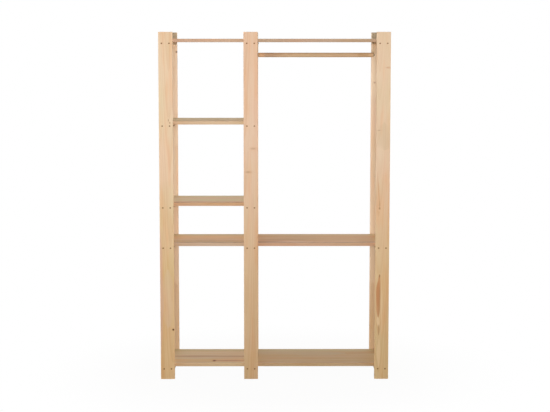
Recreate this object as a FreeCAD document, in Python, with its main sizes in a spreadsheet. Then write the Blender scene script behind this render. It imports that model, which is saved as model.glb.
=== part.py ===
import FreeCAD, Part
import math
import os
from types import SimpleNamespace

import Sketcher

# Open frame wardrobe in raw pine: three ladder frames carry the shelves,
# and a clothes rail turns below the top of the wider bay.
# Millimetres, +X to the right, -Y to the front, +Z up, origin on the floor under the frame's middle.

# Driving dimensions
SIZES = {
    # Ladder frames
    "post_height": 1700.0,
    "post_width": 68.0,
    "post_thick": 27.0,
    "frame_depth": 400.0,
    "left_bay": 342.0,
    "right_bay": 574.0,
    "rung_thick": 12.0,
    "rung_edge_ease": 1.2,
    "edge_round": 2.0,
    # Heights of shelf undersides above the floor, and how far the posts stand up past the highest one
    "bottom_level": 57.0,
    "lower_level": 657.0,
    "middle_level": 855.0,
    "top_inset": 49.0,
    # Shelves
    "shelf_thick": 16.0,
    "shelf_front_gap": 4.0,
    "shelf_joint_gap": 2.0,
    # T-headed nails through the posts into the rungs
    "nail_spacing": 36.0,
    "nail_length": 60.0,
    "nail_side": 2.8,
    "nail_head_width": 6.4,
    "nail_head_depth": 1.6,
    "nail_sink": 0.6,
    "nail_fit": 0.05,
    "nail_tip_gap": 1.0,
    # T-headed brads through the shelf ends into the rungs
    "brad_inset": 60.0,
    "brad_length": 25.0,
    "brad_side": 1.8,
    "brad_head_width": 3.6,
    "brad_head_depth": 1.4,
    "brad_sink": 0.2,
    "brad_fit": 0.05,
    "brad_tip_gap": 0.5,
    # Clothes rail
    "rail_radius": 11.0,
    "rail_drop": 57.0,
    "rail_end_play": 0.4,
    "rail_end_ease": 1.5,
    # Flat hangers of the rail
    "hanger_thick": 2.0,
    "hanger_neck_width": 10.6,
    "hanger_disc_radius": 10.5,
    "hanger_neck_fillet": 6.0,
    # Screws that hold the hangers on the rungs
    "hanger_screw_radius": 2.0,
    "hanger_screw_length": 28.0,
    "hanger_screw_head_radius": 3.8,
    "hanger_screw_head_height": 2.4,
    "hanger_screw_head_ease": 0.8,
    "hanger_screw_point": 4.0,
    "hanger_screw_fit": 0.05,
    "hanger_screw_tip_gap": 1.0,
    # Screws in the ends of the rail, on which it turns
    "pivot_radius": 2.5,
    "pivot_length": 32.0,
    "pivot_head_radius": 4.8,
    "pivot_head_height": 3.0,
    "pivot_head_ease": 1.0,
    "pivot_head_play": 0.3,
    "pivot_point": 5.0,
    "pivot_fit": 0.05,
    "pivot_tip_gap": 1.0,
}

LEVELS = ("bottom", "lower", "middle", "upper", "top")
WIDE_BAY_LEVELS = ("bottom", "lower", "top")
LADDER_LEVELS = {"left": LEVELS, "centre": LEVELS, "right": WIDE_BAY_LEVELS}
BAY_LEVELS = {"left": LEVELS, "right": WIDE_BAY_LEVELS}

# The bays that lie to the left and to the right of each ladder
LADDER_BAYS = {"left": {1: "left"}, "centre": {-1: "left", 1: "right"}, "right": {-1: "right"}}

# The side of a ladder on which it carries the rail
RAIL_SIDES = {"centre": 1, "right": -1}
SIDES = (-1, 1)

NAIL_PARTS = ("side", "length", "head_width", "head_depth", "sink", "fit", "tip_gap")
SCREW_PARTS = ("radius", "length", "head_radius", "head_height", "head_ease", "point")

UP = FreeCAD.Vector(0, 0, 1)
RIGHT = FreeCAD.Vector(1, 0, 0)
SQUARE_SHARE = 0.999


class Size:
    """A length, as a number and as the sheet expression that gives it."""

    def __init__(self, number, text):
        self.number = number
        self.text = text

    def __add__(self, other):
        return Size(self.number + other.number, f"({self.text} + {other.text})")

    def __sub__(self, other):
        return Size(self.number - other.number, f"({self.text} - {other.text})")

    def __mul__(self, factor):
        return Size(self.number * factor, f"({self.text} * {factor})")

    def __truediv__(self, divisor):
        return Size(self.number / divisor, f"({self.text} / {divisor})")

    def __neg__(self):
        return self * -1


def make_sheet():
    """Write the driving dimensions to the sheet and return them as sizes."""
    sheet = doc.addObject("Spreadsheet::Sheet", "Sizes")
    for row, (name, number) in enumerate(SIZES.items(), start=1):
        sheet.set(f"A{row}", name)
        sheet.set(f"B{row}", str(number))
        sheet.setAlias(f"B{row}", name)
    doc.recompute()
    return SimpleNamespace(**{name: Size(sheet.get(name), f"Sizes.{name}") for name in SIZES})


# Sketches


def origin_plane(body, role):
    """One of the body's own origin planes."""
    return next(item for item in body.Origin.OriginFeatures if item.Role == role)


def new_sketch(body, name, role, offset=None):
    """Put a sketch on one of the body's origin planes, moved along the plane's normal by the offset."""
    sketch = body.newObject("Sketcher::SketchObject", f"{body.Name}_{name}")
    sketch.AttachmentSupport = [(origin_plane(body, role), "")]
    sketch.MapMode = "FlatFace"
    if offset is not None:
        sketch.setExpression("AttachmentOffset.Base.z", offset.text)
    return sketch


def relate(sketch, kind, *places):
    """Add a relation between parts of the sketch."""
    sketch.addConstraint(Sketcher.Constraint(kind, *places))


def dimension(sketch, kind, size, *places):
    """Add a dimension whose value stays bound to the sheet."""
    index = sketch.addConstraint(Sketcher.Constraint(kind, *places, size.number))
    sketch.setExpression(f"Constraints[{index}]", size.text)


def place_point(sketch, x, y, geometry, point):
    """Hold a point of the sketch at x, y from the sketch's origin."""
    dimension(sketch, "DistanceX", x, -1, 1, geometry, point)
    dimension(sketch, "DistanceY", y, -1, 1, geometry, point)


def line(sketch, start, end):
    """Add a straight line between two places."""
    ends = [FreeCAD.Vector(x.number, y.number, 0) for x, y in (start, end)]
    return sketch.addGeometry(Part.LineSegment(*ends), False)


def round_line(x, y, radius):
    """A circle about the centre x, y, still outside the sketch."""
    return Part.Circle(FreeCAD.Vector(x.number, y.number, 0), UP, radius.number)


def arc(sketch, x, y, radius, start_degrees, end_degrees):
    """Add an arc about the centre x, y."""
    ends = (math.radians(start_degrees), math.radians(end_degrees))
    return sketch.addGeometry(Part.ArcOfCircle(round_line(x, y, radius), *ends), False)


def circle(sketch, radius, x, y):
    """Draw a circle about the centre x, y."""
    ring = sketch.addGeometry(round_line(x, y, radius), False)
    dimension(sketch, "Radius", radius, ring)
    place_point(sketch, x, y, ring, 3)


def outline(sketch, corners):
    """Draw a closed outline of straight lines through the corners."""
    lines = [line(sketch, start, end) for start, end in zip(corners, corners[1:] + corners[:1])]
    for side, following in zip(lines, lines[1:] + lines[:1]):
        relate(sketch, "Coincident", side, 2, following, 1)
    for side, (x, y) in zip(lines, corners):
        place_point(sketch, x, y, side, 1)


def rectangle(sketch, width, height, x, y):
    """Draw a rectangle about the centre x, y."""
    left = x - width / 2
    right = x + width / 2
    low = y - height / 2
    high = y + height / 2
    outline(sketch, [(left, low), (right, low), (right, high), (left, high)])


def eased_rectangle(sketch, width, height, ease):
    """Draw a rectangle with its corners cut off, about the sketch's origin."""
    half_width = width / 2
    half_height = height / 2
    inner_x = half_width - ease
    inner_y = half_height - ease
    corners = [
        (-inner_x, -half_height),
        (inner_x, -half_height),
        (half_width, -inner_y),
        (half_width, inner_y),
        (inner_x, half_height),
        (-inner_x, half_height),
        (-half_width, inner_y),
        (-half_width, -inner_y),
    ]
    outline(sketch, corners)


def rounded_rectangle(sketch, width, height, radius):
    """Draw a rectangle with rounded corners about the sketch's origin."""
    half_width = width / 2
    half_height = height / 2
    inner_x = half_width - radius
    inner_y = half_height - radius
    lines = [
        line(sketch, (-inner_x, -half_height), (inner_x, -half_height)),
        line(sketch, (half_width, -inner_y), (half_width, inner_y)),
        line(sketch, (inner_x, half_height), (-inner_x, half_height)),
        line(sketch, (-half_width, inner_y), (-half_width, -inner_y)),
    ]
    arcs = [
        arc(sketch, inner_x, -inner_y, radius, 270, 360),
        arc(sketch, inner_x, inner_y, radius, 0, 90),
        arc(sketch, -inner_x, inner_y, radius, 90, 180),
        arc(sketch, -inner_x, -inner_y, radius, 180, 270),
    ]
    for side, corner, following in zip(lines, arcs, lines[1:] + lines[:1]):
        relate(sketch, "Tangent", side, 2, corner, 1)
        relate(sketch, "Tangent", corner, 2, following, 1)
    for direction, side in zip(("Horizontal", "Vertical") * 2, lines):
        relate(sketch, direction, side)
    for corner, following in zip(arcs, arcs[1:]):
        relate(sketch, "Equal", corner, following)
    relate(sketch, "Symmetric", arcs[0], 3, arcs[2], 3, -1, 1)
    dimension(sketch, "Radius", radius, arcs[0])
    dimension(sketch, "DistanceX", width, lines[3], 1, lines[1], 1)
    dimension(sketch, "DistanceY", height, lines[0], 1, lines[2], 1)


# Bodies and their features


def new_body(name, x, y, z, half_turn=False):
    """Start a named piece at x, y, z, turned half round about Z if asked."""
    body = doc.addObject("PartDesign::Body", name)
    body.Label = name
    body.AllowCompound = True
    if half_turn:
        body.Placement = FreeCAD.Placement(FreeCAD.Vector(), FreeCAD.Rotation(UP, 180))
    for axis, size in zip("xyz", (x, y, z)):
        body.setExpression(f"Placement.Base.{axis}", size.text)
    pieces.append(body)
    return body


def pad(body, name, sketch, length, side_type="One side", reverse=False):
    """Raise the sketch by the length."""
    feature = body.newObject("PartDesign::Pad", f"{body.Name}_{name}")
    feature.Profile = sketch
    feature.SideType = side_type
    feature.Reversed = reverse
    feature.setExpression("Length", length.text)
    doc.recompute()
    return feature


def pocket(body, name, sketch, depth=None, reverse=False):
    """Sink the sketch to the depth, or right through, and make sure that it cuts."""
    before = body.Shape.Volume
    feature = body.newObject("PartDesign::Pocket", f"{body.Name}_{name}")
    feature.Profile = sketch
    feature.Reversed = reverse
    if depth is None:
        feature.Type = "ThroughAll"
    else:
        feature.setExpression("Length", depth.text)
    doc.recompute()
    if feature.Shape.Volume >= before:
        raise RuntimeError(f"{feature.Name} cuts nothing")
    return feature


def mirror(body, name, feature, role):
    """Repeat a feature on the other side of one of the body's origin planes."""
    copy = body.newObject("PartDesign::Mirrored", f"{body.Name}_{name}")
    copy.Originals = [feature]
    copy.MirrorPlane = (origin_plane(body, role), [""])
    body.Tip = copy
    doc.recompute()


def ease_ends(body, feature, size, axis):
    """Take a small chamfer off the edges of the two end faces that stand square to the axis."""
    ends = []
    for index, face in enumerate(feature.Shape.Faces, start=1):
        if abs(face.normalAt(0, 0).dot(axis)) > SQUARE_SHARE:
            ends.append(f"Face{index}")
    chamfer = body.newObject("PartDesign::Chamfer", f"{body.Name}_end_ease")
    chamfer.Base = (feature, ends)
    chamfer.setExpression("Size", size.text)
    doc.recompute()


# Nails and brads, all with square shanks and flat heads that are wider one way


def nail_sizes(kind):
    """The sizes of one kind of nail."""
    return SimpleNamespace(**{part: getattr(d, f"{kind}_{part}") for part in NAIL_PARTS})


def cut_nail_holes(body, role, surface, places, kind):
    """Pierce a board for its nails, with a pit for each head."""
    size = nail_sizes(kind)
    shanks = new_sketch(body, "shank_holes", role, surface)
    pits = new_sketch(body, "head_pits", role, surface)
    side = size.side + size.fit * 2
    for x, y in places:
        rectangle(shanks, side, side, x, y)
        rectangle(pits, size.head_width + size.fit * 2, side, x, y)
    pocket(body, "shank_cut", shanks)
    pocket(body, "pit_cut", pits, size.head_depth + size.sink)


def cut_tip_holes(body, name, role, surface, places, kind, board):
    """Sink blind holes for what is left of the nails once they have passed through a board."""
    size = nail_sizes(kind)
    tips = new_sketch(body, f"{name}_holes", role, surface)
    side = size.side + size.fit * 2
    for x, y in places:
        rectangle(tips, side, side, x, y)
    return pocket(body, f"{name}_cut", tips, size.length + size.sink - board + size.tip_gap)


def make_nails(name, place, half_turn, role, surface, places, kind):
    """The nails of one board as one group of solids, their heads sunk below its surface."""
    size = nail_sizes(kind)
    nails = new_body(name, *place, half_turn)
    heads = new_sketch(nails, "heads", role, surface - size.sink)
    shanks = new_sketch(nails, "shanks", role, surface - size.sink)
    for x, y in places:
        rectangle(heads, size.head_width, size.side, x, y)
        rectangle(shanks, size.side, size.side, x, y)
    pad(nails, "head_depth", heads, size.head_depth, reverse=True)
    pad(nails, "shank_length", shanks, size.length, reverse=True)


# Ladder frames


def make_post(ladder, face, side):
    """A post with rounded edges and the nails that hold the rungs to it."""
    place = (ladder_middle[ladder], (d.frame_depth - d.post_thick) / 2 * side, zero)
    turned = face == "rear"
    post = new_body(f"post_{ladder}_{face}", *place, turned)
    section = new_sketch(post, "section", "XY_Plane")
    rounded_rectangle(section, d.post_width, d.post_thick, d.edge_round)
    pad(post, "length", section, d.post_height)
    heights = [level_height[level] - d.rung_thick / 2 for level in LADDER_LEVELS[ladder]]
    places = [(d.nail_spacing / 2 * across, height) for height in heights for across in SIDES]
    cut_nail_holes(post, "XZ_Plane", d.post_thick / 2, places, "nail")
    make_nails(f"nails_{ladder}_{face}", place, turned, "XZ_Plane", d.post_thick / 2, places, "nail")


def make_rung(ladder, level):
    """A flat rung between two posts, pierced for the nails at its ends and the brads from its shelves."""
    height = level_height[level] - d.rung_thick / 2
    rung = new_body(f"rung_{ladder}_{level}", ladder_middle[ladder], zero, height)
    section = new_sketch(rung, "section", "XZ_Plane")
    eased_rectangle(section, d.post_width, d.rung_thick, d.rung_edge_ease)
    pad(rung, "length", section, rung_length, "Symmetric")

    nail_tips = [(d.nail_spacing / 2 * across, zero) for across in SIDES]
    tip_cut = cut_tip_holes(rung, "nail_tip", "XZ_Plane", rung_length / 2, nail_tips, "nail", d.post_thick)
    mirror(rung, "far_nail_tip_cut", tip_cut, "XZ_Plane")

    rows = [row for row, bay in LADDER_BAYS[ladder].items() if level in BAY_LEVELS[bay]]
    row_middle = (d.post_width - shelf_bearing) / 2
    brad_tips = [(row_middle * row, brad_reach * side) for row in rows for side in SIDES]
    cut_tip_holes(rung, "brad_tip", "XY_Plane", d.rung_thick / 2, brad_tips, "brad", d.shelf_thick)

    if level == "top" and ladder in RAIL_SIDES:
        side = RAIL_SIDES[ladder]
        screw_hole = new_sketch(rung, "screw_hole", "YZ_Plane", d.post_width / 2 * side)
        circle(screw_hole, hanger_hole_radius, zero, zero)
        depth = d.hanger_screw_length - d.hanger_thick + d.hanger_screw_tip_gap
        pocket(rung, "screw_cut", screw_hole, depth, reverse=side < 0)


def make_ladder(ladder):
    """One ladder frame: two nailed posts and the rungs between them."""
    for face, side in (("front", -1), ("rear", 1)):
        make_post(ladder, face, side)
    for level in LADDER_LEVELS[ladder]:
        make_rung(ladder, level)


# Shelves


def make_shelf(bay, level):
    """A glued pine board whose ends lie on half of a rung each, and the brads that hold it down."""
    place = (bay_middle[bay], zero, level_height[level] + d.shelf_thick / 2)
    length = bay_width[bay] + shelf_bearing * 2
    shelf = new_body(f"shelf_{bay}_{level}", *place)
    section = new_sketch(shelf, "section", "YZ_Plane")
    rounded_rectangle(section, shelf_depth, d.shelf_thick, d.edge_round)
    pad(shelf, "length", section, length, "Symmetric")
    row_middle = (length - shelf_bearing) / 2
    places = [(row_middle * end, brad_reach * side) for end in SIDES for side in SIDES]
    cut_nail_holes(shelf, "XY_Plane", d.shelf_thick / 2, places, "brad")
    make_nails(f"brads_{bay}_{level}", place, False, "XY_Plane", d.shelf_thick / 2, places, "brad")


# Clothes rail and its hangers


def make_rail():
    """The round rail, eased at its ends and bored for the screws on which it turns."""
    rail = new_body("clothes_rail", bay_middle["right"], zero, rail_height)
    length = d.right_bay - (d.hanger_thick + d.rail_end_play) * 2
    section = new_sketch(rail, "section", "YZ_Plane")
    circle(section, d.rail_radius, zero, zero)
    bar = pad(rail, "length", section, length, "Symmetric")
    ease_ends(rail, bar, d.rail_end_ease, RIGHT)
    bore = new_sketch(rail, "bore", "YZ_Plane", length / 2)
    circle(bore, pivot_hole_radius, zero, zero)
    reach = d.pivot_head_play + d.hanger_thick + d.rail_end_play
    bore_cut = pocket(rail, "bore_cut", bore, d.pivot_length - reach + d.pivot_tip_gap)
    mirror(rail, "far_bore_cut", bore_cut, "YZ_Plane")


def make_hanger(end, x):
    """A stamped steel hanger: a narrow neck with a screw hole, and a disc against the rail's end."""
    hanger = new_body(f"rail_hanger_{end}", x, zero, rail_height)
    shape = new_sketch(hanger, "shape", "YZ_Plane")
    half_neck = d.hanger_neck_width / 2
    angle = math.degrees(math.acos(half_neck.number / d.hanger_disc_radius.number))
    top = arc(shape, zero, d.rail_drop, half_neck, 0, 180)
    left = line(shape, (-half_neck, d.rail_drop), (-half_neck, d.hanger_disc_radius))
    disc = arc(shape, zero, zero, d.hanger_disc_radius, 180 - angle, 360 + angle)
    right = line(shape, (half_neck, d.hanger_disc_radius), (half_neck, d.rail_drop))
    relate(shape, "Tangent", top, 2, left, 1)
    relate(shape, "Coincident", left, 2, disc, 1)
    relate(shape, "Coincident", disc, 2, right, 1)
    relate(shape, "Tangent", right, 2, top, 1)
    relate(shape, "Vertical", left)
    relate(shape, "Vertical", right)
    dimension(shape, "Radius", half_neck, top)
    dimension(shape, "Radius", d.hanger_disc_radius, disc)
    place_point(shape, zero, d.rail_drop, top, 3)
    place_point(shape, zero, zero, disc, 3)
    circle(shape, pivot_hole_radius, zero, zero)
    circle(shape, hanger_hole_radius, zero, d.rail_drop)
    plate = pad(hanger, "plate", shape, d.hanger_thick)

    corners = []
    for index, edge in enumerate(plate.Shape.Edges, start=1):
        middle = edge.CenterOfMass
        across = abs(edge.tangentAt(edge.FirstParameter).dot(RIGHT)) > SQUARE_SHARE
        if across and 0 < middle.z < d.hanger_disc_radius.number:
            corners.append(f"Edge{index}")
    fillet = hanger.newObject("PartDesign::Fillet", "neck_fillet")
    fillet.Base = (plate, corners)
    fillet.setExpression("Radius", d.hanger_neck_fillet.text)


def make_screws(name, z, seat, direction, kind):
    """A mirrored pair of pan-headed screws; the left one's shank points the given way along X."""
    size = SimpleNamespace(**{part: getattr(d, f"{kind}_{part}") for part in SCREW_PARTS})
    screws = new_body(name, bay_middle["right"], zero, z)
    profile = new_sketch(screws, "profile", "XZ_Plane")
    head_top = seat - size.head_height * direction
    tip = seat + size.length * direction
    corners = [
        (head_top, zero),
        (tip, zero),
        (tip - size.point * direction, size.radius),
        (seat, size.radius),
        (seat, size.head_radius),
        (head_top + size.head_ease * direction, size.head_radius),
        (head_top, size.head_radius - size.head_ease),
    ]
    outline(profile, corners)
    turned = screws.newObject("PartDesign::Revolution", f"{name}_turned")
    turned.Profile = profile
    turned.ReferenceAxis = (profile, ["H_Axis"])
    doc.recompute()
    mirror(screws, "far_screw", turned, "YZ_Plane")


def make_rail_fittings():
    """The hangers at the ends of the rail, the screws that hold them and the screws that carry the rail."""
    bay_end = d.right_bay / 2
    make_hanger("left", bay_middle["right"] - bay_end)
    make_hanger("right", bay_middle["right"] + bay_end - d.hanger_thick)
    make_screws("hanger_screws", rail_height + d.rail_drop, d.hanger_thick - bay_end, -1, "hanger_screw")
    make_screws("pivot_screws", rail_height, -bay_end - d.pivot_head_play, 1, "pivot")


def check_and_write():
    """Stop at any failed object or bad solid, then write each piece to its file."""
    failed = [item.Label for item in doc.Objects if {"Invalid", "Error"} & set(item.State)]
    if failed:
        raise RuntimeError(f"failed objects: {failed}")
    for piece in pieces:
        if piece.Shape.isNull() or not piece.Shape.isValid() or not piece.Shape.Solids:
            raise RuntimeError(f"{piece.Label} has no valid solid")
    os.makedirs("parts", exist_ok=True)
    for piece in pieces:
        piece.Shape.exportStep(f"parts/{piece.Label}.step")


doc = FreeCAD.newDocument("OpenFrameWardrobe")
pieces = []
d = make_sheet()
zero = Size(0, "0")

# Places and fits that follow from the driving dimensions
top_level = d.post_height - d.top_inset
level_height = {
    "bottom": d.bottom_level,
    "lower": d.lower_level,
    "middle": d.middle_level,
    "upper": (d.middle_level + top_level) / 2,
    "top": top_level,
}
bay_width = {"left": d.left_bay, "right": d.right_bay}
outer_middle = d.post_width + (d.left_bay + d.right_bay) / 2
ladder_middle = {"left": -outer_middle, "centre": (d.left_bay - d.right_bay) / 2, "right": outer_middle}
bay_middle = {"left": -(d.post_width + d.right_bay) / 2, "right": (d.post_width + d.left_bay) / 2}
rung_length = d.frame_depth - d.post_thick * 2
shelf_depth = rung_length - d.shelf_front_gap * 2
shelf_bearing = (d.post_width - d.shelf_joint_gap) / 2
brad_reach = shelf_depth / 2 - d.brad_inset
rail_height = top_level - d.rung_thick / 2 - d.rail_drop
hanger_hole_radius = d.hanger_screw_radius + d.hanger_screw_fit
pivot_hole_radius = d.pivot_radius + d.pivot_fit

for ladder_name in LADDER_LEVELS:
    make_ladder(ladder_name)
for bay_name, bay_levels in BAY_LEVELS.items():
    for level_name in bay_levels:
        make_shelf(bay_name, level_name)
make_rail()
make_rail_fittings()
doc.recompute()
check_and_write()
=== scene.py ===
import functools
import math
from dataclasses import dataclass

import bpy
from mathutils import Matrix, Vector


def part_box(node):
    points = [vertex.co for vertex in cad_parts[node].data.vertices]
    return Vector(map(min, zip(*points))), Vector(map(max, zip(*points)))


# Open frame wardrobe in raw pine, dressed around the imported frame. Metres, +Z up, -Y to the front.

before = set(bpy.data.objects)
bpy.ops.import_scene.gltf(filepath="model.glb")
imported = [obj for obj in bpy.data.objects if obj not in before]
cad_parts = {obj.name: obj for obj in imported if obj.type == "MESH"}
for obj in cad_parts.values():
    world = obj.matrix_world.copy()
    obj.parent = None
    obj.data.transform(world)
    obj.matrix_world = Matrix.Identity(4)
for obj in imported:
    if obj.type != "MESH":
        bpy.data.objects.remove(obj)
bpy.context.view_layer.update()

# Pieces of the frame
LEVELS = ("bottom", "lower", "middle", "upper", "top")
WIDE_LEVELS = ("bottom", "lower", "top")
LADDER_LEVELS = {"left": LEVELS, "centre": LEVELS, "right": WIDE_LEVELS}
BAY_LEVELS = {"left": LEVELS, "right": WIDE_LEVELS}
POST_PLACES = [f"{ladder}_{side}" for ladder in LADDER_LEVELS for side in ("front", "rear")]
RUNG_PLACES = [f"{ladder}_{level}" for ladder, levels in LADDER_LEVELS.items() for level in levels]
SHELF_PLACES = [f"{bay}_{level}" for bay, levels in BAY_LEVELS.items() for level in levels]
RAIL = "clothes_rail"

# Camera, tilted down from a level view
LEVEL_VIEW = math.radians(90)
CAMERA_PLACE = Vector((-0.029, -7.268, 1.640))
CAMERA_PITCH = math.radians(6.312)
CAMERA_YAW = math.radians(0.251)
CAMERA_LENS = 95.64
SENSOR_WIDTH = 36.0

# Lamp in front, whose light falls off towards the floor
KEY_PLACE = Vector((0.0, -7.0, 1.3))
KEY_TARGET = Vector((0.0, 0.0, 1.6))
KEY_SIZE = (1.1, 1.4)
KEY_POWER = 12.5
KEY_SPREAD = math.radians(42)
KEY_COLOUR = (1.0, 0.95, 0.92)

# Light from the studio's low walls, by the sine of its height above the horizon
WALL_BRIGHT = (1.0, 1.0, 0.97, 1.0)
WALL_DIM = (0.46, 0.46, 0.45, 1.0)
WALL_DARK = (0.05, 0.05, 0.05, 1.0)
SKY_STOPS = ((0.0, WALL_BRIGHT), (0.27, WALL_BRIGHT), (0.36, WALL_DIM), (0.58, WALL_DIM), (0.72, WALL_DARK))

# Its strength in front, and at the sides and behind, with the two places between which it grows
SKY_STRENGTHS = (0.7, 2.3)
SKY_SPAN = (-0.86, -0.58)

# Floor, with the distances between which its shadow fades
FLOOR_COLOUR = (0.40, 0.34, 0.25, 1.0)
FLOOR_WHITE_SHARE = 0.97
FLOOR_SHADOW_SPAN = (0.5, 1.3)
FLOOR_HALF = 30.0
UNIT_SQUARE = ((-1, -1), (1, -1), (1, 1), (-1, 1))

WHITE = (1.0, 1.0, 1.0, 1.0)

# Curve between the levels of a display and light
TOP_LEVEL = 255
CURVE_BREAK = 0.04045
CURVE_SLOPE = 12.92
CURVE_SHIFT = 0.055
CURVE_POWER = 2.4


def light(level):
    """The light that a display level shows, from 0 to 1."""
    value = level / TOP_LEVEL
    if value <= CURVE_BREAK:
        return value / CURVE_SLOPE
    return ((value + CURVE_SHIFT) / (1 + CURVE_SHIFT)) ** CURVE_POWER


def srgb(red, green, blue):
    """A colour given in display levels from 0 to 255, as the shader needs it."""
    return (light(red), light(green), light(blue), 1.0)


# Tones of the pine
PALE = srgb(242, 219, 191)
PINK = srgb(232, 204, 180)
STRAW = srgb(236, 203, 156)
TAN = srgb(224, 194, 157)
HONEY = srgb(230, 201, 157)
ROSE = srgb(234, 209, 182)
CREAM = srgb(248, 226, 196)
FAWN = srgb(231, 202, 167)
SHELL = srgb(250, 229, 206)
# Colour of the painted light on the rear posts' fronts
PAINTED_LIGHT_TONE = srgb(255, 231, 203)
RAIL_BROWN = srgb(194, 168, 141)
RAIL_HONEY = srgb(219, 193, 160)
RAIL_ORANGE = srgb(236, 190, 146)
RAIL_UMBER = srgb(190, 154, 112)
RESIN = srgb(205, 146, 100)
KNOT = srgb(84, 46, 26)
RED_KNOT = srgb(116, 40, 10)
MARK = srgb(150, 108, 74)
RIPPLE = srgb(238, 208, 166)
# Colour of the painted shade on the rear posts' tops
SHADED = srgb(166, 150, 122)
REDDISH = srgb(190, 128, 100)
DARK_BAND = srgb(196, 152, 118)
UMBER = srgb(186, 140, 100)
MAUVE = srgb(226, 187, 168)
PALE_OLIVE = srgb(228, 210, 164)
RUDDY = srgb(214, 172, 134)
GREY_OLIVE = srgb(200, 176, 138)

# Tints that multiply the tones
LATE_TINT = (0.82, 0.68, 0.53, 1.0)
BAND_TINT = (0.95, 0.88, 0.82, 1.0)
BLUSH_TINT = (1.0, 0.94, 0.93, 1.0)
MOSS_TINT = (0.96, 0.985, 0.93, 1.0)
FIBRE_TINT = (0.88, 0.84, 0.78, 1.0)
END_TINT = (0.74, 0.65, 0.55, 1.0)
GLUE_TINT = (0.72, 0.64, 0.54, 1.0)
WARM_TINT = (1.0, 0.93, 0.86, 1.0)
# Tint of the painted highlight along the edges
EDGE_HIGHLIGHT_TINT = (1.10, 1.10, 1.09, 1.0)
NAIL_DARK_TINT = (0.46, 0.24, 0.05, 1.0)

# Tints of the glued strips of a shelf
PLAIN_STRIP = WHITE
TAWNY_STRIP = (0.90, 0.88, 0.92, 1.0)
DUSKY_STRIP = (0.76, 0.75, 0.84, 1.0)
AMBER_STRIP = (0.84, 0.72, 0.72, 1.0)
OLIVE_STRIP = (0.90, 0.97, 0.90, 1.0)
BROWN_STRIP = (0.90, 0.86, 0.77, 1.0)
ORANGE_STRIP = (1.04, 0.94, 0.80, 1.0)
ROSE_STRIP = (1.0, 0.94, 0.95, 1.0)

# Noise in the wood: how fine it is across, through and along the board, and its detail
SWAY_NOISE = ((9.0, 9.0, 1.6), 3.0)
BAND_NOISE = ((1.0, 1.0, 9.0), 2.0)
FIBRE_NOISE = ((700.0, 700.0, 12.0), 2.0)
RAGGED_NOISE = ((36.0, 36.0, 7.0), 3.0)
EDGE_HIGHLIGHT_NOISE = ((24.0, 24.0, 7.0), 2.0)
BLUSH_NOISE = ((16.0, 16.0, 2.4), 2.0)
MOSS_NOISE = ((9.0, 9.0, 3.4), 1.0)
WARM_NOISE = ((42.0, 42.0, 5.0), 2.0)
STREAK_NOISE = ((90.0, 90.0, 2.5), 3.0)
NOISE_MIDDLE = 0.5

# Slow patches of tone: a noise, the two values between which it sets in, and a tint
PATCHES = (
    (BLUSH_NOISE, (0.42, 0.66), BLUSH_TINT),
    (MOSS_NOISE, (0.48, 0.72), MOSS_TINT),
    (WARM_NOISE, (0.45, 0.70), WARM_TINT),
)

# A board's own place in the log, drawn from its seed
SEED_STEP = 17.0
TURN_STEP = 0.5
YEAR_STEP = 0.37
LOG_WIDTH = 3.0
LOG_DEPTH = 5.0

# Rings, with the parts of a year in which the late wood sets in and ends, and how strong a year can be
RING_WIDTH = 0.0027
RING_WAVE = 0.006
LATE_START_SPAN = (0.3, 0.9)
LATE_END_SPAN = (0.92, 1.0)
YEAR_SPAN = (-0.4, 1.0)
YEAR_SHARES = (0.25, 1.0)
LATE_SHARE = 0.34

# Bands of rings, streaks of fibres and single fibres
BAND_WIDTH = 0.018
BAND_DRIFT = 0.5
BAND_SPAN = (0.35, 0.75)
STREAK_SPAN = (0.5, 0.8)
FIBRE_SPAN = (0.45, 0.8)
FIBRE_SHARE = 0.3

# Strips of a shelf
STRIP_WIDTH = 0.0625
STRIP_START = -0.137
GLUE_WIDTH = 0.0012
GLUE_SHARE = 0.8
MIDDLE_SHARE = 0.5

# Knots, by the distance from their middle in radii
KNOT_PUSH_SPAN = (0.8, 3.2)
KNOT_PUSH_SHARE = 0.9
KNOT_HALO_SPAN = (0.8, 2.4)
KNOT_HALO_SHARE = 0.7
KNOT_CORE_SPAN = (0.6, 1.15)

# Streaks, by the distance from their middle line in half widths
STREAK_END = 1.1
LEAST_TAPER = 0.001

# Painted highlight along the edges, sawn ends, and the darkening round each pair of nails in a post
EDGE_HIGHLIGHT_REACH = 0.006
EDGE_HIGHLIGHT_SHARE = 0.8
EDGE_HIGHLIGHT_SPAN = (0.3, 0.6)
END_SPAN = (0.7, 0.95)
NAIL_HALF_SPACING = 0.018
NAIL_DARK_CORE = 0.0028
NAIL_DARK_REACH = 0.0050
NAIL_DARK_SHARE = 0.65
FACE_DEPTH = 0.003

# Surface of the pine
RING_HEIGHT_SHARE = 0.4
FIBRE_HEIGHT_SHARE = 0.8
BUMP_STRENGTH = 0.25
BUMP_HEIGHT = 0.0003
ROUGH_SPAN = (0.2, 0.8)
PINE_ROUGHNESS = (0.56, 0.70)
LATE_GLOSS = 0.08
PINE_SPECULAR = 0.2

# Steel: its noise, how cloudy and rough it is, and the tone, worn tone and roughness of each kind
CLOUD_NOISE = ((260.0, 260.0, 260.0), 4.0)
GRIT_NOISE = ((2400.0, 2400.0, 2400.0), 2.0)
WORN_SPAN = (0.45, 0.75)
GRIT_ROUGHNESS = 0.18
NAIL_STEEL = (srgb(70, 42, 18), srgb(96, 62, 32), 0.55)
SCREW_STEEL = (srgb(70, 64, 58), srgb(96, 88, 80), 0.4)
ZINC_STEEL = (srgb(176, 152, 112), srgb(196, 172, 130), 0.5)


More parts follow.
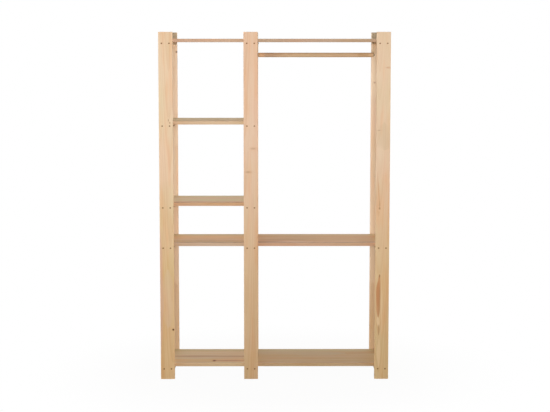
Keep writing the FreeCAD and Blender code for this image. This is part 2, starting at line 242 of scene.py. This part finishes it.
class Shader:
    """The nodes of one material or world."""

    def __init__(self, tree):
        self.tree = tree
        self.tree.nodes.clear()

    def feed(self, socket, value):
        """Set a socket to a number, or link another node's output to it."""
        if isinstance(value, bpy.types.NodeSocket):
            self.tree.links.new(value, socket)
        else:
            socket.default_value = value

    def add(self, kind, inputs=(), **settings):
        """Add a node, set it and feed its inputs."""
        node = self.tree.nodes.new(kind)
        for key, value in settings.items():
            setattr(node, key, value)
        for key, value in dict(inputs).items():
            self.feed(node.inputs[key], value)
        return node

    def math(self, operation, first, second=0.0):
        """One sum on numbers."""
        return self.add("ShaderNodeMath", {0: first, 1: second}, operation=operation).outputs[0]

    def vector(self, operation, first, second):
        """One sum on vectors."""
        return self.add("ShaderNodeVectorMath", {0: first, 1: second}, operation=operation).outputs[0]

    def size(self, place):
        """The length of a vector."""
        return self.add("ShaderNodeVectorMath", {0: place}, operation="LENGTH").outputs["Value"]

    def combine(self, x, y, z=0.0):
        """A vector from numbers."""
        return self.add("ShaderNodeCombineXYZ", {0: x, 1: y, 2: z}).outputs[0]

    def noise(self, place, fineness, detail):
        """Soft noise from 0 to 1, with a fineness for each direction."""
        inputs = {"Vector": self.vector("MULTIPLY", place, fineness), "Scale": 1.0, "Detail": detail}
        return self.add("ShaderNodeTexNoise", inputs).outputs["Fac"]

    def chance(self, number):
        """A random number from 0 to 1 for each number."""
        return self.add("ShaderNodeTexWhiteNoise", {"W": number}, noise_dimensions="1D").outputs["Value"]

    def step(self, value, low, high, to_low=0.0, to_high=1.0):
        """A smooth step of a number from one range to another."""
        inputs = {"Value": value, "From Min": low, "From Max": high, "To Min": to_low, "To Max": to_high}
        return self.add("ShaderNodeMapRange", inputs, interpolation_type="SMOOTHSTEP").outputs["Result"]

    def mix(self, share, first, second, blend="MIX"):
        """Two colours mixed by a share."""
        inputs = {0: share, 6: first, 7: second}
        return self.add("ShaderNodeMix", inputs, data_type="RGBA", blend_type=blend).outputs[2]

    def tint(self, share, colour, tint):
        """A colour multiplied by a tint."""
        return self.mix(share, colour, tint, "MULTIPLY")

    def ramp(self, value, stops, interpolation):
        """Colours along a line, each at its place from 0 to 1."""
        node = self.add("ShaderNodeValToRGB", {"Fac": value})
        node.color_ramp.interpolation = interpolation
        elements = node.color_ramp.elements
        while len(elements) < len(stops):
            elements.new(1.0)
        for element, (place, colour) in zip(elements, stops):
            element.position = place
            element.color = colour
        return node.outputs["Color"]

    def seen_share(self):
        """1 for rays that the camera, a reflection or clear material sees, and 0 for light."""
        rays = self.add("ShaderNodeLightPath").outputs
        direct = self.math("MAXIMUM", rays["Is Camera Ray"], rays["Is Glossy Ray"])
        return self.math("MAXIMUM", direct, rays["Is Transmission Ray"])

    def finish(self, kind, shader):
        """End the tree with this shader."""
        output = self.add(kind)
        self.tree.links.new(shader.outputs[0], output.inputs["Surface"])


def new_material(name):
    """A material with nodes."""
    material = bpy.data.materials.new(name)
    material.use_nodes = True
    return material


# Marks in the pine

BOTH_FACES = 0.0
FRONT_FACE = -1.0
REAR_FACE = 1.0


@dataclass(frozen=True)
class Outline:
    """How blunt a streak ends, the share of its width that is solid, and the face that it lies on."""

    bluntness: float
    solid_share: float
    face: float = BOTH_FACES


CLEAR = Outline(bluntness=2.0, solid_share=0.55)
FADING = Outline(bluntness=2.0, solid_share=0.0)
FRONT_FADING = Outline(bluntness=2.0, solid_share=0.0, face=FRONT_FACE)
BLUNT = Outline(bluntness=4.0, solid_share=0.55)
BLUNT_FADING = Outline(bluntness=4.0, solid_share=0.0)


@dataclass
class Mark:
    """A knot or a streak, placed from the middle of a board. A streak may slope and has an outline."""

    across: float
    along: float
    half_across: float
    half_along: float
    share: float
    tone: tuple
    slope: float = 0.0
    outline: Outline = CLEAR


def marks(table, node):
    """The marks that a table holds for a board."""
    return [Mark(*row) for row in table.get(node, ())]


# Knots of each board, in rows of the values of a mark
KNOTS = {
    "post_left_front": (
        (0.0286, -0.6027, 0.0046, 0.0046, 1.0, KNOT),
        (0.0124, 0.4254, 0.0016, 0.0060, 0.7, MARK),
        (0.0193, 0.4127, 0.0022, 0.0040, 0.6, MARK),
    ),
    "post_left_rear": ((0.0309, 0.7517, 0.0040, 0.0045, 0.9, KNOT),),
    "post_centre_front": (
        (0.0112, 0.2880, 0.0130, 0.0048, 0.26, MARK),
        (-0.0130, 0.1735, 0.0140, 0.0048, 0.28, MARK),
    ),
    "post_right_front": (
        (0.0200, 0.6790, 0.0090, 0.0034, 0.35, RESIN),
        (-0.0203, 0.3760, 0.0070, 0.0030, 0.3, MARK),
        (-0.0150, -0.0040, 0.0036, 0.0050, 0.55, MARK),
        (-0.0117, -0.3370, 0.0026, 0.0070, 0.7, MARK),
    ),
    "post_right_rear": ((-0.0162, 0.5970, 0.0060, 0.0045, 0.35, MARK),),
    "shelf_left_bottom": ((-0.113, 0.021, 0.0130, 0.0076, 1.0, RED_KNOT),),
}

# Streaks of each board, in the same rows
# Painted light: paler patches on the front face of the rear posts, lifting the shade under the shelves
PAINTED_LIGHT_MIDDLE = (0.0, -0.310, 0.1200, 0.1400, 0.4, PAINTED_LIGHT_TONE, 0.0, FRONT_FADING)
# Painted shade: the front face of each rear post above the top shelf, darkened as if the shelf shaded it
PAINTED_SHADE_TOP = (0.0, 0.840, 0.1200, 0.0500, 0.8, SHADED, 0.0, FRONT_FADING)
STREAKS = {
    "post_left_front": (
        (-0.0310, -0.4200, 0.0150, 0.3300, 0.55, MAUVE),
        (0.0040, -0.4500, 0.0400, 0.1500, 0.4, ROSE, 0.0, FADING),
    ),
    "post_left_rear": (
        # Painted light under the shelves
        (0.0, 0.770, 0.1200, 0.1000, 0.8, PAINTED_LIGHT_TONE, 0.0, FRONT_FADING),
        (0.0, 0.350, 0.1200, 0.0900, 0.8, PAINTED_LIGHT_TONE, 0.0, FRONT_FADING),
        PAINTED_LIGHT_MIDDLE,
        PAINTED_SHADE_TOP,
    ),
    "post_centre_rear": (PAINTED_SHADE_TOP,),
    "post_right_front": (
        (0.0060, 0.3480, 0.0800, 0.0700, 0.3, GREY_OLIVE, 0.0, FADING),
        (-0.0150, 0.0160, 0.0022, 0.0200, 0.4, MARK),
        (-0.0200, 0.0850, 0.0034, 0.0950, 0.4, RESIN, -0.08),
        (-0.0170, -0.4100, 0.0105, 0.0850, 0.85, RESIN, 0.05),
        (-0.0190, -0.4520, 0.0120, 0.0920, 0.8, RESIN, 0.0, BLUNT),
        (-0.0130, -0.4650, 0.0050, 0.0780, 0.5, UMBER, 0.03, BLUNT),
        (-0.0010, -0.4900, 0.0034, 0.1300, 0.7, RIPPLE),
        (-0.0190, -0.5640, 0.0090, 0.0260, 0.9, RIPPLE, -0.1),
        (-0.0150, -0.6050, 0.0050, 0.0300, 0.6, UMBER),
        (-0.0140, -0.7200, 0.0100, 0.0750, 0.7, RIPPLE),
    ),
    "post_right_rear": (
        # Painted light under the top shelf
        (0.0, 0.690, 0.1200, 0.1900, 0.9, PAINTED_LIGHT_TONE, 0.0, FRONT_FADING),
        PAINTED_LIGHT_MIDDLE,
        PAINTED_SHADE_TOP,
    ),
    "shelf_left_bottom": (
        (-0.110, 0.105, 0.0200, 0.0950, 0.8, REDDISH, 0.0, FADING),
        (-0.012, 0.060, 0.0300, 0.3000, 0.9, DARK_BAND, 0.0, BLUNT_FADING),
    ),
    "shelf_left_middle": ((-0.045, 0.035, 0.0850, 0.2000, 0.6, PALE_OLIVE, 0.0, FADING),),
    "shelf_right_lower": (
        (-0.112, -0.270, 0.0380, 0.1300, 0.75, UMBER, 0.05, FADING),
        (-0.043, -0.160, 0.0340, 0.1300, 0.4, UMBER, 0.03, FADING),
        (-0.120, -0.110, 0.0120, 0.1000, 0.6, CREAM, 0.0, FADING),
        (-0.110, 0.270, 0.0260, 0.0800, 0.6, UMBER, 0.0, FADING),
    ),
    "shelf_right_bottom": (
        (0.090, -0.180, 0.1100, 0.3400, 0.7, GREY_OLIVE, -0.1, BLUNT_FADING),
        (-0.010, 0.140, 0.0200, 0.2200, 0.5, RUDDY, 0.0, FADING),
    ),
    RAIL: (
        (0.0, -0.285, 0.0500, 0.0400, 0.8, RAIL_ORANGE, 0.0, FADING),
        (0.0, 0.235, 0.0500, 0.0350, 0.6, RAIL_UMBER, 0.0, FADING),
    ),
}


# Looks of the boards

BOARD_TURN = (-0.45, 0.30)
BOARD_LEAN = (0.008, 0.010)


@dataclass
class Look:
    """How one board was cut.

    Its tone turns from the near to the far one between two places along it. Its pith lies at a place across
    and through the board, and leans away from there along it. A shelf has strips, and a post has nails.
    """

    grain: str
    near_tone: tuple
    far_tone: tuple
    pith: tuple
    turn: tuple = BOARD_TURN
    lean: tuple = BOARD_LEAN
    strips: tuple = ()
    nails: tuple = ()
    nail_face: float = FRONT_FACE


# Rungs
RUNG_PITH = (0.01, -0.05)
RUNG_TURN = (-0.3, 0.3)
RUNG_LOOK = Look("Y", HONEY, CREAM, pith=RUNG_PITH, turn=RUNG_TURN)

# Rail
RAIL_PITH = (0.02, -0.03)
RAIL_TURN = (-0.25, -0.12)
RAIL_LOOK = Look("X", RAIL_BROWN, RAIL_HONEY, pith=RAIL_PITH, turn=RAIL_TURN)

# Posts: tones at the foot and the top, piths, the one unusual lean, and what differs from front to rear
# The rear posts' pale tones are partly the wood's own tone and partly painted light, lightened against the
# shade they stand in
POST_TONES = {
    "left_front": (STRAW, PALE),
    "left_rear": (FAWN, SHELL),
    "centre_front": (TAN, PINK),
    "centre_rear": (FAWN, SHELL),
    "right_front": (HONEY, ROSE),
    "right_rear": (FAWN, SHELL),
}
POST_PITHS = {
    "left_front": (0.02, 0.09),
    "left_rear": (-0.02, -0.07),
    "centre_front": (-0.03, 0.10),
    "centre_rear": (0.03, -0.08),
    "right_front": (-0.018, 0.07),
    "right_rear": (0.01, -0.07),
}
POST_LEANS = {"right_front": (0.004, 0.016)}
POST_TURNS = {"front": BOARD_TURN, "rear": (-0.85, 0.15)}
POST_FACES = {"front": FRONT_FACE, "rear": REAR_FACE}

# Shelves: tones, and strips from the front to the rear
SHELF_PITH = (0.0, 0.05)
SHELF_LEAN = (0.02, 0.02)
SHELF_TONES = {
    "left_bottom": srgb(227, 201, 163),
    "left_lower": srgb(240, 214, 176),
    "left_middle": srgb(234, 211, 173),
    "left_upper": srgb(232, 206, 170),
    "left_top": srgb(238, 211, 178),
    "right_bottom": srgb(219, 192, 151),
    "right_lower": srgb(238, 201, 161),
    "right_top": srgb(220, 193, 161),
}
SHELF_STRIPS = {
    "left_bottom": (PLAIN_STRIP, ORANGE_STRIP, PLAIN_STRIP, PLAIN_STRIP, PLAIN_STRIP, OLIVE_STRIP),
    "left_lower": (DUSKY_STRIP, BROWN_STRIP, ROSE_STRIP, ORANGE_STRIP, ORANGE_STRIP, OLIVE_STRIP),
    "left_middle": (AMBER_STRIP, ROSE_STRIP, PLAIN_STRIP, PLAIN_STRIP, ROSE_STRIP, OLIVE_STRIP),
    "left_upper": (TAWNY_STRIP, OLIVE_STRIP, PLAIN_STRIP, OLIVE_STRIP, OLIVE_STRIP, OLIVE_STRIP),
    "left_top": (DUSKY_STRIP, PLAIN_STRIP, OLIVE_STRIP, PLAIN_STRIP, ROSE_STRIP, PLAIN_STRIP),
    "right_bottom": (TAWNY_STRIP, BROWN_STRIP, BROWN_STRIP, BROWN_STRIP, BROWN_STRIP, OLIVE_STRIP),
    "right_lower": (DUSKY_STRIP, ROSE_STRIP, BROWN_STRIP, BROWN_STRIP, BROWN_STRIP, OLIVE_STRIP),
    "right_top": (DUSKY_STRIP, OLIVE_STRIP, PLAIN_STRIP, ROSE_STRIP, PLAIN_STRIP, OLIVE_STRIP),
}


def nail_places(post, ladder):
    """How high above a post's middle each of its pairs of nails sits."""
    middle = sum(corner.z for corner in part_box(post)) / 2
    rungs = [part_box(f"rung_{ladder}_{level}") for level in LADDER_LEVELS[ladder]]
    return tuple((low.z + high.z) / 2 - middle for low, high in rungs)


def post_look(place):
    """One post, darker round its nails."""
    ladder, side = place.split("_")
    return Look(
        "Z", *POST_TONES[place],
        pith=POST_PITHS[place],
        turn=POST_TURNS[side],
        lean=POST_LEANS.get(place, BOARD_LEAN),
        nails=nail_places(f"post_{place}", ladder),
        nail_face=POST_FACES[side],
    )


def shelf_look(place):
    """One shelf, glued up from strips."""
    tone = SHELF_TONES[place]
    return Look("X", tone, tone, pith=SHELF_PITH, lean=SHELF_LEAN, strips=SHELF_STRIPS[place])


# Pine

ACROSS = {"X": ("Y", "Z"), "Y": ("X", "Z"), "Z": ("X", "Y")}
GRAIN_WAY = {"X": (1, 0, 0), "Y": (0, 1, 0), "Z": (0, 0, 1)}


class Pine(Shader):
    """Raw pine: growth rings about a pith beside the board, fibres, slow changes of tone, and marks."""

    def __init__(self, tree, node, look, seed):
        super().__init__(tree)
        self.look = look
        self.seed = seed
        self.knots = marks(KNOTS, node)
        self.streaks = marks(STREAKS, node)
        low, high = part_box(node)
        half = (high - low) / 2
        coordinates = self.add("ShaderNodeTexCoord").outputs
        self.normal = coordinates["Normal"]
        centred = self.vector("SUBTRACT", coordinates["Object"], (low + high) / 2)
        parts = self.add("ShaderNodeSeparateXYZ", {0: centred}).outputs
        axes = ACROSS[look.grain]
        self.width, self.thickness = (parts[axis] for axis in axes)
        self.half_width, self.half_thickness = (getattr(half, axis.lower()) for axis in axes)
        self.length = parts[look.grain]
        self.cut_from_log()
        self.reaches = [self.knot_reach(knot) for knot in self.knots]
        self.grow_rings()
        self.fibre = self.noise(self.place, *FIBRE_NOISE)

    def cut_from_log(self):
        """Give the board, or each of its glued strips, a place of its own in the log."""
        number = self.seed * SEED_STEP
        if self.look.strips:
            from_seam = self.math("SUBTRACT", self.width, STRIP_START)
            self.inside = self.math("FLOORED_MODULO", from_seam, STRIP_WIDTH)
            strip = self.math("FLOOR", self.math("DIVIDE", from_seam, STRIP_WIDTH))
            number = self.math("ADD", strip, number)
        self.luck = self.chance(number)
        turn = self.chance(self.math("ADD", number, TURN_STEP))
        log_across = self.math("MULTIPLY", self.luck, LOG_WIDTH)
        log_deep = self.math("MULTIPLY", turn, LOG_DEPTH)
        shift = self.combine(log_across, log_deep, self.luck)
        self.place = self.vector("ADD", self.combine(self.width, self.thickness, self.length), shift)
        if self.look.strips:
            self.side = self.math("SUBTRACT", self.inside, self.math("MULTIPLY", turn, STRIP_WIDTH))
        else:
            self.side = self.math("SUBTRACT", self.width, self.look.pith[0])

    def from_middle(self, noise):
        """Noise in the wood that swings to both sides of 0."""
        return self.math("SUBTRACT", self.noise(self.place, *noise), NOISE_MIDDLE)

    def knot_reach(self, knot):
        """How far a place lies from a knot, in radii."""
        across = self.math("DIVIDE", self.math("SUBTRACT", self.width, knot.across), knot.half_across)
        along = self.math("DIVIDE", self.math("SUBTRACT", self.length, knot.along), knot.half_along)
        return self.size(self.combine(across, along))

    def ring_radius(self):
        """How far a place lies from the pith, pushed aside by the knots."""
        wave = self.math("MULTIPLY", self.from_middle(SWAY_NOISE), RING_WAVE)
        lean_across, lean_deep = (self.math("MULTIPLY", self.length, slope) for slope in self.look.lean)
        across = self.math("ADD", self.math("ADD", self.side, lean_across), wave)
        deep = self.math("ADD", self.math("SUBTRACT", self.thickness, self.look.pith[1]), lean_deep)
        radius = self.math("ADD", self.size(self.combine(across, deep)), wave)
        for reach, knot in zip(self.reaches, self.knots):
            push = self.step(reach, *KNOT_PUSH_SPAN, knot.half_across * KNOT_PUSH_SHARE, 0.0)
            radius = self.math("ADD", radius, push)
        return radius

    def grow_rings(self):
        """The late wood of each year's ring, and the wider bands that the rings make."""
        radius = self.ring_radius()
        ring = self.math("DIVIDE", radius, RING_WIDTH)
        part = self.math("FRACT", ring)
        rise = self.step(part, *LATE_START_SPAN)
        fall = self.step(part, *LATE_END_SPAN, 1.0, 0.0)
        year = self.chance(self.math("ADD", self.math("FLOOR", ring), self.seed * YEAR_STEP))
        strength = self.step(year, *YEAR_SPAN, *YEAR_SHARES)
        self.late = self.math("MULTIPLY", self.math("MULTIPLY", rise, fall), strength)
        slow = self.math("MULTIPLY", self.length, BAND_DRIFT)
        band_place = self.combine(self.math("DIVIDE", radius, BAND_WIDTH), slow, self.luck)
        self.band = self.noise(band_place, *BAND_NOISE)

    @functools.cached_property
    def ragged(self):
        """How far the streaks stray from their middle lines, in half widths."""
        return self.from_middle(RAGGED_NOISE)

    def streak_share(self, streak):
        """The streak's share inside it, and 0 outside it."""
        outline = streak.outline
        beyond = self.math("SUBTRACT", self.length, streak.along)
        along = self.math("ABSOLUTE", self.math("DIVIDE", beyond, streak.half_along))
        taper = self.math("SUBTRACT", 1.0, self.math("POWER", along, outline.bluntness))
        half = self.math("MULTIPLY", self.math("MAXIMUM", taper, LEAST_TAPER), streak.half_across)
        middle = self.math("ADD", self.math("MULTIPLY", beyond, streak.slope), streak.across)
        middle = self.math("ADD", middle, self.math("MULTIPLY", self.ragged, streak.half_across))
        across = self.math("ABSOLUTE", self.math("SUBTRACT", self.width, middle))
        reach = self.math("DIVIDE", across, half)
        share = self.step(reach, outline.solid_share, STREAK_END, streak.share, 0.0)
        if outline.face == BOTH_FACES:
            return share
        return self.math("MULTIPLY", share, self.face_share(outline.face))

    def face_share(self, face):
        """1 on one face of the board, and 0 below it."""
        outward = self.math("MULTIPLY", self.thickness, face)
        return self.step(outward, self.half_thickness - FACE_DEPTH, self.half_thickness)

    def strip_colour(self, colour):
        """Tint each glued strip, and darken the seams between them."""
        depth = self.half_width * 2
        edges = [STRIP_START + STRIP_WIDTH * index for index in range(len(self.look.strips) - 1)]
        starts = [0.0] + [edge / depth + MIDDLE_SHARE for edge in edges]
        share = self.math("ADD", self.math("DIVIDE", self.width, depth), MIDDLE_SHARE)
        colour = self.tint(1.0, colour, self.ramp(share, list(zip(starts, self.look.strips)), "CONSTANT"))
        seam = self.math("MINIMUM", self.inside, self.math("SUBTRACT", STRIP_WIDTH, self.inside))
        return self.tint(self.step(seam, 0.0, GLUE_WIDTH, GLUE_SHARE, 0.0), colour, GLUE_TINT)

    def grain_colour(self, colour):
        """Slow patches, bands, rings and fibres."""
        for noise, span, tint in PATCHES:
            colour = self.tint(self.step(self.noise(self.place, *noise), *span), colour, tint)
        colour = self.tint(self.step(self.band, *BAND_SPAN), colour, BAND_TINT)
        streak = self.noise(self.place, *STREAK_NOISE)
        colour = self.tint(self.step(streak, *STREAK_SPAN, 0.0, FIBRE_SHARE), colour, FIBRE_TINT)
        colour = self.tint(self.math("MULTIPLY", self.late, LATE_SHARE), colour, LATE_TINT)
        return self.tint(self.step(self.fibre, *FIBRE_SPAN, 0.0, FIBRE_SHARE), colour, FIBRE_TINT)

    def mark_colour(self, colour):
        """Streaks and knots."""
        for streak in self.streaks:
            colour = self.mix(self.streak_share(streak), colour, streak.tone)
        for reach, knot in zip(self.reaches, self.knots):
            halo = self.step(reach, *KNOT_HALO_SPAN, knot.share * KNOT_HALO_SHARE, 0.0)
            core = self.step(reach, *KNOT_CORE_SPAN, knot.share, 0.0)
            colour = self.mix(core, self.tint(halo, colour, LATE_TINT), knot.tone)
        return colour

    def edge_highlight_colour(self, colour):
        """Painted highlight: lighten the edges along the grain, in patches."""
        to_side = self.math("SUBTRACT", self.half_width, self.math("ABSOLUTE", self.width))
        to_face = self.math("SUBTRACT", self.half_thickness, self.math("ABSOLUTE", self.thickness))
        highlighted = self.step(self.math("MAXIMUM", to_side, to_face), 0.0, EDGE_HIGHLIGHT_REACH, EDGE_HIGHLIGHT_SHARE, 0.0)
        patchy = self.step(self.noise(self.place, *EDGE_HIGHLIGHT_NOISE), *EDGE_HIGHLIGHT_SPAN)
        return self.tint(self.math("MULTIPLY", highlighted, patchy), colour, EDGE_HIGHLIGHT_TINT)

    def nail_colour(self, colour):
        """Darken the outer face round each pair of nails."""
        heights = [self.math("SUBTRACT", self.length, place) for place in self.look.nails]
        gaps = [self.math("ABSOLUTE", height) for height in heights]
        along = functools.reduce(lambda first, second: self.math("MINIMUM", first, second), gaps)
        across = self.math("SUBTRACT", self.math("ABSOLUTE", self.width), NAIL_HALF_SPACING)
        reach = self.size(self.combine(across, along))
        darkening = self.step(reach, NAIL_DARK_CORE, NAIL_DARK_REACH, NAIL_DARK_SHARE, 0.0)
        share = self.math("MULTIPLY", darkening, self.face_share(self.look.nail_face))
        return self.tint(share, colour, NAIL_DARK_TINT)

    def end_colour(self, colour):
        """Darken the sawn ends."""
        inputs = {0: self.normal, 1: GRAIN_WAY[self.look.grain]}
        product = self.add("ShaderNodeVectorMath", inputs, operation="DOT_PRODUCT").outputs["Value"]
        return self.tint(self.step(self.math("ABSOLUTE", product), *END_SPAN), colour, END_TINT)

    def colour(self):
        """The colour of the whole board."""
        colour = self.mix(self.step(self.length, *self.look.turn), self.look.near_tone, self.look.far_tone)
        if self.look.strips:
            colour = self.strip_colour(colour)
        colour = self.edge_highlight_colour(self.mark_colour(self.grain_colour(colour)))
        if self.look.nails:
            colour = self.nail_colour(colour)
        return self.end_colour(colour)

    def bump(self):
        """Rings and fibres that stand up a little."""
        rings = self.math("MULTIPLY", self.late, RING_HEIGHT_SHARE)
        fibres = self.math("MULTIPLY", self.fibre, FIBRE_HEIGHT_SHARE)
        height = self.math("ADD", rings, fibres)
        inputs = {"Strength": BUMP_STRENGTH, "Distance": BUMP_HEIGHT, "Height": height}
        return self.add("ShaderNodeBump", inputs).outputs[0]

    def make(self):
        """Finish the board."""
        rough = self.step(self.fibre, *ROUGH_SPAN, *PINE_ROUGHNESS)
        inputs = {
            "Base Color": self.colour(),
            "Roughness": self.math("SUBTRACT", rough, self.math("MULTIPLY", self.late, LATE_GLOSS)),
            "Normal": self.bump(),
            "Specular IOR Level": PINE_SPECULAR,
        }
        self.finish("ShaderNodeOutputMaterial", self.add("ShaderNodeBsdfPrincipled", inputs))


def pine(node, look, seed):
    """The material of one board."""
    material = new_material(f"pine_{node}")
    Pine(material.node_tree, node, look, seed).make()
    return material


# Steel


def steel(name, tone, worn_tone, roughness):
    """Steel with a cloudy finish that is worn in places."""
    material = new_material(name)
    shader = Shader(material.node_tree)
    place = shader.add("ShaderNodeTexCoord").outputs["Object"]
    cloud = shader.noise(place, *CLOUD_NOISE)
    grit = shader.noise(place, *GRIT_NOISE)
    inputs = {
        "Base Color": shader.mix(shader.step(cloud, *WORN_SPAN), tone, worn_tone),
        "Metallic": 1.0,
        "Roughness": shader.step(grit, *ROUGH_SPAN, roughness, roughness + GRIT_ROUGHNESS),
    }
    shader.finish("ShaderNodeOutputMaterial", shader.add("ShaderNodeBsdfPrincipled", inputs))
    return material


# Nodes of the frame


def dress(node, material):
    """Give a node of the frame its material."""
    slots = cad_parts[node].data.materials
    slots.clear()
    slots.append(material)


def dress_boards():
    """Pine for each post, rung and shelf and the rail, with seeds in that order."""
    looks = {f"post_{place}": post_look(place) for place in POST_PLACES}
    looks.update({f"rung_{place}": RUNG_LOOK for place in RUNG_PLACES})
    looks.update({f"shelf_{place}": shelf_look(place) for place in SHELF_PLACES})
    looks[RAIL] = RAIL_LOOK
    for seed, (node, look) in enumerate(looks.items(), 1):
        dress(node, pine(node, look, seed))


def dress_fittings():
    """Steel for the nails, brads, screws and hangers."""
    nails = [f"nails_{place}" for place in POST_PLACES]
    brads = [f"brads_{place}" for place in SHELF_PLACES]
    for name, kind, nodes in (
        ("nail_steel", NAIL_STEEL, nails + brads),
        ("screw_steel", SCREW_STEEL, ("hanger_screws", "pivot_screws")),
        ("zinc_steel", ZINC_STEEL, ("rail_hanger_left", "rail_hanger_right")),
    ):
        material = steel(name, *kind)
        for node in nodes:
            dress(node, material)


# Studio


def floor_material():
    """A floor that shows white and keeps a soft shadow under the wardrobe."""
    material = new_material("floor")
    shader = Shader(material.node_tree)
    distance = shader.size(shader.add("ShaderNodeTexCoord").outputs["Object"])
    white_share = shader.step(distance, *FLOOR_SHADOW_SPAN, FLOOR_WHITE_SHARE, 1.0)
    share = shader.math("MULTIPLY", shader.seen_share(), white_share)
    matt = shader.add("ShaderNodeBsdfDiffuse", {"Color": FLOOR_COLOUR})
    white = shader.add("ShaderNodeEmission", {"Color": WHITE, "Strength": 1.0})
    mixed = shader.add("ShaderNodeMixShader", {0: share, 1: matt.outputs[0], 2: white.outputs[0]})
    shader.finish("ShaderNodeOutputMaterial", mixed)
    return material


def make_floor():
    """The plain pale floor."""
    mesh = bpy.data.meshes.new("floor")
    corners = [(x * FLOOR_HALF, y * FLOOR_HALF, 0) for x, y in UNIT_SQUARE]
    mesh.from_pydata(corners, [], [tuple(range(len(corners)))])
    mesh.materials.append(floor_material())
    floor = bpy.data.objects.new("floor", mesh)
    bpy.context.scene.collection.objects.link(floor)


def make_world():
    """Soft light from the walls all round, behind a white background."""
    world = bpy.data.worlds.new("studio")
    world.use_nodes = True
    bpy.context.scene.world = world
    shader = Shader(world.node_tree)
    way = shader.add("ShaderNodeTexCoord").outputs["Generated"]
    parts = shader.add("ShaderNodeSeparateXYZ", {0: way}).outputs
    inputs = {
        "Color": shader.ramp(parts["Z"], SKY_STOPS, "LINEAR"),
        "Strength": shader.step(parts["Y"], *SKY_SPAN, *SKY_STRENGTHS),
    }
    sky = shader.add("ShaderNodeBackground", inputs)
    white = shader.add("ShaderNodeBackground", {"Color": WHITE, "Strength": 1.0})
    inputs = {0: shader.seen_share(), 1: sky.outputs[0], 2: white.outputs[0]}
    shader.finish("ShaderNodeOutputWorld", shader.add("ShaderNodeMixShader", inputs))


def make_key():
    """The soft lamp in front."""
    lamp = bpy.data.lights.new("key", "AREA")
    lamp.shape = "RECTANGLE"
    lamp.size, lamp.size_y = KEY_SIZE
    lamp.energy = KEY_POWER
    lamp.spread = KEY_SPREAD
    lamp.color = KEY_COLOUR
    key = bpy.data.objects.new("key", lamp)
    key.location = KEY_PLACE
    key.rotation_euler = (KEY_TARGET - KEY_PLACE).to_track_quat("-Z", "Y").to_euler()
    bpy.context.scene.collection.objects.link(key)


def make_camera():
    """The photograph's viewpoint."""
    data = bpy.data.cameras.new("camera")
    data.lens = CAMERA_LENS
    data.sensor_width = SENSOR_WIDTH
    camera = bpy.data.objects.new("camera", data)
    camera.location = CAMERA_PLACE
    camera.rotation_euler = (LEVEL_VIEW - CAMERA_PITCH, 0, -CAMERA_YAW)
    bpy.context.scene.collection.objects.link(camera)
    bpy.context.scene.camera = camera


bpy.context.scene.view_settings.view_transform = "Standard"
dress_boards()
dress_fittings()
make_floor()
make_world()
make_key()
make_camera()
